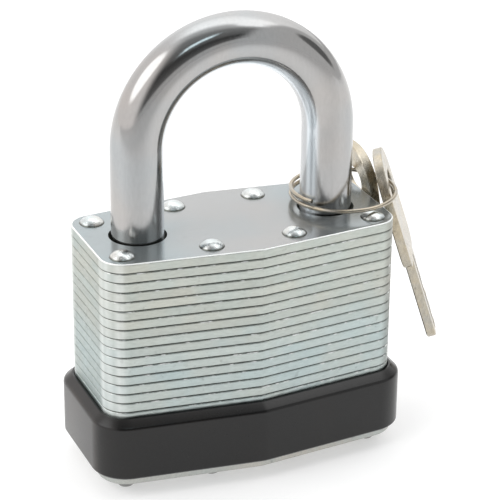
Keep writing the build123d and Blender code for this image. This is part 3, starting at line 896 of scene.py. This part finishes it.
@dataclass
class CaseOutline:
    """Plan of the case: a long hexagon bent at the middle of its front and back."""

    width: float = 65.2
    end_depth: float = 26.2
    middle_depth: float = 33.4
    corner_radius: float = 5.1
    bend_half: float = 0.5
    bend_drop: float = 0.6
    side_places: tuple[float, ...] = (0.6, 0.3, 0.1)
    corner_points: int = 14

    def ring(self, grow: float) -> np.ndarray:
        """The outline moved outwards by one distance: an arc, a sloping side, and their mirror images.

        Args:
            grow: distance outwards, in millimetres.

        Returns:
            Points anticlockwise, n by 2, the same number for every distance.
        """
        slope = (self.middle_depth - self.end_depth) / self.width
        lean = hypot(1, slope)
        half_width = self.width / 2 + grow
        middle = self.middle_depth / 2 + grow * lean
        radius = self.corner_radius + grow
        centre_x = half_width - radius
        centre_y = middle - slope * centre_x - radius * lean
        angles = np.linspace(0, atan2(1, slope), self.corner_points)
        arc = np.stack([centre_x + radius * np.cos(angles), centre_y + radius * np.sin(angles)], axis=-1)
        side_x = np.array(self.side_places) * self.width / 2
        side_x = np.append(side_x, [self.bend_half, self.bend_half / 2])
        drop = np.where(side_x < self.bend_half, (self.bend_half - side_x) * slope / 2, 0.0)
        side = np.stack([side_x, middle - slope * side_x - drop], axis=-1)
        tip = np.array([[0.0, middle - slope * self.bend_half * self.bend_drop]])
        quarter = np.concatenate([arc, side])
        half = np.concatenate([quarter, tip, (quarter * [-1, 1])[::-1]])
        return np.concatenate([half, -half])

    def band(self, profile: np.ndarray) -> np.ndarray:
        """A closed profile carried round the outline.

        Args:
            profile: distance outwards and height of each profile point, n by 2.

        Returns:
            Grid of points, profile by outline by 3.
        """
        rings = np.stack([self.ring(grow) for grow in profile[:, 0]])
        heights = np.broadcast_to(profile[:, 1, None, None], (*rings.shape[:2], 1))
        return np.concatenate([rings, heights], axis=-1)


@dataclass
class PlateStack:
    """The laminated plates: solids kept, their outer edges rolled over."""

    outline: CaseOutline
    shop: FinishShop
    thickness: float = PLATE_THICKNESS
    count: int = PLATE_COUNT
    base: float = PLATE_BASE
    edge: float = 0.28
    sink: float = 0.12
    edge_points: int = 5
    crease: float = 60.0

    def dress(self, nodes: dict[str, bpy.types.Object]) -> None:
        """Gives the plates their zinc plating.

        Args:
            nodes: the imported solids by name.
        """
        for name, node in nodes.items():
            if name.startswith("plate_"):
                set_finish(node, self.shop.material(Finishes.PLATE_EDGE))
        set_finish(nodes["top_plate"], self.shop.material(Finishes.TOP_PLATE))
        set_finish(nodes["bottom_plate"], self.shop.material(Finishes.BOTTOM_PLATE))

    def rolled_edges(self) -> bpy.types.Object:
        """Quarter-round rims over the plates' broken edges, each sunk a little into its plate.

        Returns:
            One piece with two rims on every plate.
        """
        surface = Surface()
        turn = np.linspace(0, pi / 2, self.edge_points)
        across = self.edge * (np.cos(turn) - 1)
        along = self.edge * np.sin(turn)
        inner = np.array([[-self.edge, self.edge - self.sink], [-self.sink, 0.0]])
        rim = np.concatenate([np.stack([across, along], axis=-1), inner])
        for number in range(self.count):
            high = self.base + (number + 1) * self.thickness
            low = self.base + number * self.thickness
            top = rim + [0, high - self.edge]
            bottom = rim * [1, -1] + [0, low + self.edge]
            for profile in (top, bottom):
                surface.add_grid(self.outline.band(profile), close_rows=True)
        piece = surface.to_object("rolled_plate_edges", self.crease)
        return finish_piece(piece, self.shop.material(Finishes.PLATE_EDGE), Body.CASE)


@dataclass
class RivetSet:
    """Eight rivets: domed heads on top, shanks, and blunt feet."""

    shop: FinishShop
    places: tuple[tuple[float, float], ...] = ((28.0, 9.4), (9.2, 11.0842))
    head: float = 2.65
    dome: float = 1.4
    shank: float = 1.8
    foot: float = 2.3
    foot_flat: float = 1.6
    foot_height: float = FOOT_HEIGHT
    foot_bulge: float = 0.25
    top: float = CASE_TOP
    dome_start: float = 0.06
    dome_points: int = 12
    foot_points: int = 8
    columns: int = 40
    crease: float = 40.0

    def profile(self) -> np.ndarray:
        """Radius and height from the head's top to the foot's end.

        Returns:
            Points, n by 2. The dome is part of a ball, and the foot bulges to its flat end.
        """
        ball = (self.head**2 + self.dome**2) / (2 * self.dome)
        steep = np.linspace(self.dome_start, 1, self.dome_points) * np.arcsin(self.head / ball)
        dome_height = self.top + self.dome - ball * (1 - np.cos(steep))
        dome = np.stack([ball * np.sin(steep), dome_height], axis=-1)
        share = np.linspace(0, 1, self.foot_points)
        radius = self.foot + (self.foot_flat - self.foot) * share + self.foot_bulge * np.sin(pi * share)
        foot = np.stack([radius, self.foot_height * (1 - share)], axis=-1)
        stem = np.array([[self.shank, self.top], [self.shank, self.foot_height]])
        return np.concatenate([dome, stem, foot])

    def build(self) -> bpy.types.Object:
        """One piece with all eight rivets, each its profile turned about its axis.

        Returns:
            The piece, which stands for the rivets' node.
        """
        surface = Surface()
        profile = self.profile()
        turn = np.linspace(0, 2 * pi, self.columns, endpoint=False)
        unit = np.stack([np.cos(turn), np.sin(turn), np.zeros_like(turn)], axis=-1)
        rivet = profile[:, 0, None, None] * unit + np.array([0, 0, 1]) * profile[:, 1, None, None]
        for x, y in self.places:
            for side in ((1, 1), (1, -1), (-1, 1), (-1, -1)):
                surface.add_grid(rivet + [x * side[0], y * side[1], 0], caps=True)
        piece = surface.to_object("rivet_heads", self.crease)
        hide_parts("rivets")
        return finish_piece(piece, self.shop.material(Finishes.RIVET), Body.CASE)


@dataclass
class BumperBand:
    """Moulded band round the lower plates, with a sloping top and softened edges."""

    outline: CaseOutline
    shop: FinishShop
    low: float = PLATE_BASE
    high: float = 17.75
    slope: float = 1.5
    inner: float = 0.15
    outer: float = 2.45
    lip: float = 0.65
    cut: float = 0.5
    radii: tuple[float, ...] = (0.1, 0.3, 0.4, 1.1, 0.18, 0.12)
    crease: float = 50.0

    def build(self) -> bpy.types.Object:
        """The band: its section, with each corner rounded, carried round the case.

        Returns:
            The piece, which stands for the bumper's node.
        """
        corners = [
            (self.inner, self.low), (self.outer - self.cut, self.low), (self.outer, self.low + self.cut),
            (self.outer, self.high - self.slope), (self.lip, self.high), (self.inner, self.high),
        ]
        section = rounded_profile(corners, self.radii)
        surface = Surface()
        surface.add_grid(self.outline.band(section), close_rows=True)
        piece = surface.to_object("bumper_band", self.crease)
        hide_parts("bumper")
        return finish_piece(piece, self.shop.material(Finishes.BUMPER), Body.CASE)


@dataclass
class ShackleBar:
    """Round bar bent over, with a notched toe and a necked heel."""

    shop: FinishShop
    radius: float = 5.5
    leg_x: float = 21.25
    bend: float = BEND_HEIGHT
    toe_end: float = 40.07
    toe_chamfer: float = 1.2
    notch_low: float = 41.87
    notch_high: float = 46.05
    notch_flat: float = 3.0958
    collar: float = 40.03
    neck: float = 2.8958
    foot_top: float = 22.94
    foot_low: float = 19.54
    columns: int = 72
    crown_rows: int = 97
    leg_rows: int = 12
    row_gap: float = 0.5
    crease: float = 35.0

    def section(self, cut: float, radius: float) -> tuple[np.ndarray, np.ndarray]:
        """Round section with a flat where the notch cuts it.

        Args:
            cut: distance of the flat from the axis, on the inner side.
            radius: the bar's radius.

        Returns:
            Inward and sideways distance of each point.
        """
        turn = np.linspace(0, 2 * pi, self.columns, endpoint=False)
        inward = np.cos(turn)
        reach = np.where(inward * radius > cut, cut / np.maximum(inward, TINY), radius)
        return reach * inward, reach * np.sin(turn)

    def leg(self, side: int, stations: Sequence[tuple[float, float, float]]) -> np.ndarray:
        """One straight leg: the section of each station, laid level at its height.

        Args:
            side: -1 for the toe leg, 1 for the heel leg.
            stations: height, radius and distance of the flat for each row.

        Returns:
            Grid of points.
        """
        rows = []
        for height, radius, cut in stations:
            inward, across = self.section(cut, radius)
            x = side * (self.leg_x - inward)
            rows.append(np.stack([x, across, np.full_like(across, height)], axis=-1))
        return np.stack(rows)

    def crown(self) -> np.ndarray:
        """The bend: the round section carried through half a turn about the bend's centre.

        Returns:
            Grid of points.
        """
        turn = np.linspace(0, pi, self.crown_rows)[:, None]
        inward, across = self.section(2 * self.radius, self.radius)
        reach = self.leg_x - inward[None]
        x = -reach * np.cos(turn)
        z = self.bend + reach * np.sin(turn)
        return np.stack([x, np.broadcast_to(across, x.shape), z], axis=-1)

    def build(self) -> bpy.types.Object:
        """The whole bar from the toe's end over the crown to the heel's foot.

        Returns:
            The piece, which stands for the shackle's node.
        """
        full, whole = self.radius, 2 * self.radius
        notch = [(self.notch_low, full, whole), (self.notch_low, full, self.notch_flat),
                 (self.notch_high, full, self.notch_flat), (self.notch_high, full, whole)]
        heights = np.linspace(self.notch_high + self.row_gap, self.bend - self.row_gap, self.leg_rows)
        rise = [(height, full, whole) for height in heights]
        toe = [(self.toe_end, full - self.toe_chamfer, whole),
               (self.toe_end + self.toe_chamfer, full, whole)]
        heel = [(self.foot_low, full, whole), (self.foot_top, full, whole),
                (self.foot_top, self.neck, whole), (self.collar, self.neck, whole),
                (self.collar, full, whole)]
        left = self.leg(-1, toe + notch + rise)
        right = self.leg(1, heel + notch + rise)[::-1]
        surface = Surface()
        surface.add_grid(np.concatenate([left, self.crown(), right]), caps=True)
        piece = surface.to_object("shackle_bar", self.crease)
        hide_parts("shackle")
        return finish_piece(piece, self.shop.material(Finishes.SHACKLE), Body.SHACKLE)


@dataclass
class SplitRing:
    """Wire ring of a little over one turn, wound down clockwise."""

    shop: FinishShop
    centre: tuple[float, float] = (26.0799, 1.2942)
    radius: float = 11.25
    wire: float = 0.45
    pitch: float = 1.42
    turns: float = 1.28
    start: float = 209.0
    start_height: float = 55.609
    rows: int = 181
    columns: int = 20
    crease: float = 45.0

    def build(self) -> bpy.types.Object:
        """The ring: a round section carried along a falling circle, its ends closed.

        Returns:
            The piece, which stands for the ring's node.
        """
        along = np.linspace(0, 2 * pi * self.turns, self.rows)
        angle = radians(self.start) - along
        zero, one = np.zeros_like(angle), np.ones_like(angle)
        outward = np.stack([np.cos(angle), np.sin(angle), zero], axis=-1)
        upward = np.stack([zero, zero, one], axis=-1)
        height = self.start_height - self.pitch * along / (2 * pi)
        path = self.radius * outward + height[:, None] * upward + np.array([*self.centre, 0.0])
        turn = np.linspace(0, 2 * pi, self.columns, endpoint=False)[None, :, None]
        section = np.cos(turn) * outward[:, None] + np.sin(turn) * upward[:, None]
        grid = path[:, None] + self.wire * section
        surface = Surface()
        surface.add_grid(grid, caps=True)
        piece = surface.to_object("ring_wire", self.crease)
        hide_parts("split_ring")
        return finish_piece(piece, self.shop.material(Finishes.RING), Body.RING)


@dataclass
class Keys:
    """The two keys, whose solids are kept."""

    shop: FinishShop

    def dress(self, nodes: dict[str, bpy.types.Object]) -> None:
        """Gives both keys their nickel plating.

        Args:
            nodes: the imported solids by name.
        """
        for name in ("key_1", "key_2"):
            set_finish(nodes[name], self.shop.material(Finishes.KEY))


@dataclass
class Mechanism:
    """What is inside the case: cylinder, pins, cam, levers, heel pin and spring."""

    shop: FinishShop
    brass: tuple[str, ...] = ("cylinder_shell", "plug", "key_pins", "driver_pins")
    steel: tuple[str, ...] = (
        "pin_springs", "plug_clip", "drive_cam", "toe_lever", "heel_lever", "heel_pin", "heel_spring",
    )

    def dress(self, nodes: dict[str, bpy.types.Object]) -> None:
        """Gives the inner pieces plain brass and steel.

        Args:
            nodes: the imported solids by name.
        """
        for names, finish in ((self.brass, Finishes.BRASS), (self.steel, Finishes.STEEL)):
            for name in names:
                set_finish(nodes[name], self.shop.material(finish))


def set_finish(piece: bpy.types.Object, material: bpy.types.Material) -> None:
    """Puts one material in every slot of a piece.

    Args:
        piece: the object.
        material: its material.
    """
    if not piece.material_slots:
        piece.data.materials.append(material)
    for slot in piece.material_slots:
        slot.material = material
    LOG.info("%s: %s", piece.name, material.name)


def finish_piece(
    piece: bpy.types.Object, material: bpy.types.Material, body: Body
) -> bpy.types.Object:
    """Dresses a new piece and lets it move with its body.

    Args:
        piece: the object.
        material: its material.
        body: the body that it rides on.

    Returns:
        The same object.
    """
    set_finish(piece, material)
    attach(piece, body.value)
    return piece


@dataclass(frozen=True)
class Lamp:
    """A square soft light: place and side in metres, power in watts."""

    name: str
    place: tuple[float, float, float]
    side: float
    watts: float


@dataclass(frozen=True)
class SkySpot:
    """A round spot of the sky with a light of its own.

    The turn to the right from the camera's side and the lift are in degrees. The reach is where the
    spot starts and where it is complete, as the cosine of the angle from its middle.
    """

    turn: float
    lift: float
    reach: Reach
    light: float

    def aim(self, near: Vector, right: Vector) -> Vector:
        """Direction of the spot's middle.

        Args:
            near: level direction to the camera's side.
            right: level direction to the camera's right.

        Returns:
            The direction, of length 1.
        """
        turn, lift = radians(self.turn), radians(self.lift)
        return (near * cos(turn) + right * sin(turn)) * cos(lift) + Vector(UP) * sin(lift)


@dataclass
class Studio:
    """Pale floor, soft light all round, and the camera, in metres, degrees and picture points.

    The sky's light changes over an arc. Its angle is 0 level at the camera's side, a half straight above
    and 1 level at the far side, and the arc is tilted to the right. The right and left sides, three spots
    and a narrow strip have lights of their own, which give the bright metal its streaks.
    """

    floor_half: float = 2.5
    floor_tone: tuple[float, float] = (0.55, 0.40)
    floor_glow: tuple[float, float] = (0.46, 0.25)
    floor_fade: Reach = (0.06, 0.32)
    floor_roughness: float = 0.7
    camera_place: tuple[float, float, float] = (-0.155914, -0.374585, 0.225193)
    yaw: float = 23.03
    pitch: float = -23.82
    roll: float = 0.58
    focal_px: float = 2102.9
    frame_px: float = 500.0
    centre_px: tuple[float, float] = (247.20, 247.04)
    sensor_mm: float = 36.0
    clip: tuple[float, float] = (0.01, 20.0)
    sky_strength: float = 1.9
    arc_tilt: float = 0.25
    arc_light: tuple[tuple[float, float], ...] = (
        (0.0, 0.34), (0.025, 0.34), (0.06, 0.08), (0.18, 0.04), (0.26, 0.11), (0.38, 0.17),
        (0.47, 0.42), (0.56, 1.10), (0.63, 1.05), (0.77, 0.80), (1.0, 0.62),
    )
    right_reach: Reach = (0.63, 0.73)
    right_light: float = 0.40
    left_reach: Reach = (-0.20, -0.60)
    left_light: Colour = (0.63, 0.61, 0.60)
    right_spot: SkySpot = SkySpot(95.09, 55.59, (0.95, 0.985), 1.10)
    right_gap: SkySpot = SkySpot(104.6, 17.5, (0.968, 0.982), 0.10)
    left_spot: SkySpot = SkySpot(-75.09, 36.82, (0.92, 0.96), 1.30)
    strip_angle: float = 0.262
    strip_slope: float = 0.16
    strip_width: Reach = (0.035, 0.015)
    strip_middle: float = 0.15
    strip_length: Reach = (0.22, 0.14)
    strip_light: Colour = (0.80, 0.95, 1.0)
    lamps: tuple[Lamp, ...] = (
        Lamp("soft_left", (-0.6, -0.1, 0.7), 0.6, 2.5), Lamp("soft_right", (0.7, 0.1, 0.6), 0.6, 1.0),
    )
    lamp_aim: tuple[float, float, float] = (0.0, 0.0, 0.04)

    def near(self) -> Vector:
        """Level direction from the lock to the camera."""
        return Vector((self.camera_place[0], self.camera_place[1], 0.0)).normalized()

    def floor(self) -> None:
        """A wide pale floor under the feet, a little dimmer towards the camera."""
        half = self.floor_half
        mesh = bpy.data.meshes.new("floor")
        corners = [(-half, -half, 0), (half, -half, 0), (half, half, 0), (-half, half, 0)]
        mesh.from_pydata(corners, [], [(0, 1, 2, 3)])
        piece = bpy.data.objects.new("floor", mesh)
        bpy.context.scene.collection.objects.link(piece)
        material = bpy.data.materials.new("pale_floor")
        material.use_nodes = True
        wiring = Wiring(material.node_tree)
        place = wiring.add("ShaderNodeTexCoord").outputs["Object"]
        share = wiring.step(wiring.dot(place, self.near()), *self.floor_fade)
        shader = wiring.add(
            "ShaderNodeBsdfPrincipled",
            {"Base Color": wiring.blend(share, *(grey(tone) for tone in self.floor_tone)),
             "Roughness": self.floor_roughness,
             "Emission Color": wiring.blend(share, *(grey(glow) for glow in self.floor_glow)),
             "Emission Strength": 1.0},
        )
        wiring.add("ShaderNodeOutputMaterial", {"Surface": shader.outputs[0]})
        mesh.materials.append(material)

    def sky(self) -> None:
        """Soft room light: the arc's light, and over it each place that has a light of its own."""
        world = bpy.data.worlds.new("studio")
        world.use_nodes = True
        wiring = Wiring(world.node_tree)
        towards = wiring.add("ShaderNodeTexCoord").outputs["Generated"]
        near = self.near()
        right = Vector((-near.y, near.x, 0.0))
        across = wiring.dot(towards, right)
        rise = wiring.dot(towards, Vector(UP) - right * self.arc_tilt)
        facing = wiring.dot(towards, near - right * self.arc_tilt)
        angle = wiring.maths("DIVIDE", wiring.maths("ARCTAN2", rise, facing), pi)

        def spot(place: SkySpot) -> tuple[Socket, tuple[float, ...]]:
            """Share and light of a spot."""
            share = wiring.step(wiring.dot(towards, place.aim(near, right)), *place.reach)
            return share, grey(place.light)

        colour = self._arc(wiring, angle)
        for share, light in (
            (self._strip(wiring, angle, across), rgba(self.strip_light)),
            spot(self.right_spot),
            (wiring.step(across, *self.right_reach), grey(self.right_light)),
            (wiring.step(across, *self.left_reach), rgba(self.left_light)),
            spot(self.right_gap),
            spot(self.left_spot),
        ):
            colour = wiring.blend(share, colour, light)
        shader = wiring.add("ShaderNodeBackground", {"Color": colour, "Strength": self.sky_strength})
        wiring.add("ShaderNodeOutputWorld", {"Surface": shader.outputs[0]})
        bpy.context.scene.world = world

    def _arc(self, wiring: Wiring, angle: Socket) -> Socket:
        """Light along the arc, eased from one level to the next.

        Args:
            wiring: the sky's wiring.
            angle: angle on the arc.

        Returns:
            The colour.
        """
        ramp = wiring.add("ShaderNodeValToRGB", {0: angle})
        ramp.color_ramp.interpolation = "EASE"
        stops = ramp.color_ramp.elements
        while len(stops) < len(self.arc_light):
            stops.new(0.5)
        for stop, (place, level) in zip(stops, self.arc_light):
            stop.position = place
            stop.color = grey(level)
        return ramp.outputs[0]

    def _strip(self, wiring: Wiring, angle: Socket, across: Socket) -> Socket:
        """Mask of the narrow strip, which climbs a little to the right.

        Args:
            wiring: the sky's wiring.
            angle: angle on the arc.
            across: how far a direction goes to the right.

        Returns:
            The mask.
        """
        line = wiring.maths("MULTIPLY_ADD", across, self.strip_slope, self.strip_angle)
        aside = wiring.maths("ABSOLUTE", wiring.maths("SUBTRACT", angle, line))
        along = wiring.maths("ABSOLUTE", wiring.maths("SUBTRACT", across, self.strip_middle))
        return wiring.maths(
            "MULTIPLY", wiring.step(aside, *self.strip_width), wiring.step(along, *self.strip_length)
        )

    def light(self, lamp: Lamp) -> None:
        """Sets up one lamp, which bright surfaces don't mirror.

        Args:
            lamp: the lamp.
        """
        data = bpy.data.lights.new(lamp.name, "AREA")
        data.size = lamp.side
        data.energy = lamp.watts
        piece = bpy.data.objects.new(lamp.name, data)
        piece.location = lamp.place
        piece.visible_glossy = False
        towards = Vector(self.lamp_aim) - Vector(lamp.place)
        piece.rotation_euler = towards.to_track_quat("-Z", "Y").to_euler()
        bpy.context.scene.collection.objects.link(piece)

    def camera(self) -> None:
        """The camera, at the photograph's viewing angle."""
        data = bpy.data.cameras.new("camera")
        data.sensor_width = self.sensor_mm
        data.lens = self.sensor_mm * self.focal_px / self.frame_px
        data.shift_x = (self.frame_px / 2 - self.centre_px[0]) / self.frame_px
        data.shift_y = (self.centre_px[1] - self.frame_px / 2) / self.frame_px
        data.clip_start, data.clip_end = self.clip
        camera = bpy.data.objects.new("camera", data)
        yaw, pitch, roll = (radians(angle) for angle in (self.yaw, self.pitch, self.roll))
        ahead = Vector((sin(yaw) * cos(pitch), cos(yaw) * cos(pitch), sin(pitch)))
        right = Vector((cos(yaw), -sin(yaw), 0.0))
        upward = right.cross(ahead)
        across = right * cos(roll) + upward * sin(roll)
        upright = upward * cos(roll) - right * sin(roll)
        turned = Matrix((across, upright, -ahead)).transposed().to_4x4()
        camera.matrix_world = Matrix.Translation(self.camera_place) @ turned
        bpy.context.scene.collection.objects.link(camera)
        bpy.context.scene.camera = camera

    def build(self) -> None:
        """Sets up floor, light and camera."""
        self.floor()
        self.sky()
        for lamp in self.lamps:
            self.light(lamp)
        self.camera()
        bpy.context.scene.view_settings.view_transform = "Standard"


def main() -> None:
    """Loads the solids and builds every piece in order."""
    logging.basicConfig(level=logging.INFO, format="%(name)s: %(message)s")
    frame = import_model()
    nodes = frame["nodes"]
    shop = FinishShop()
    outline = CaseOutline()
    stack = PlateStack(outline, shop)
    stack.dress(nodes)
    stack.rolled_edges()
    RivetSet(shop).build()
    BumperBand(outline, shop).build()
    ShackleBar(shop).build()
    SplitRing(shop).build()
    Keys(shop).dress(nodes)
    Mechanism(shop).dress(nodes)
    Studio().build()


if __name__ == "__main__":
    main()
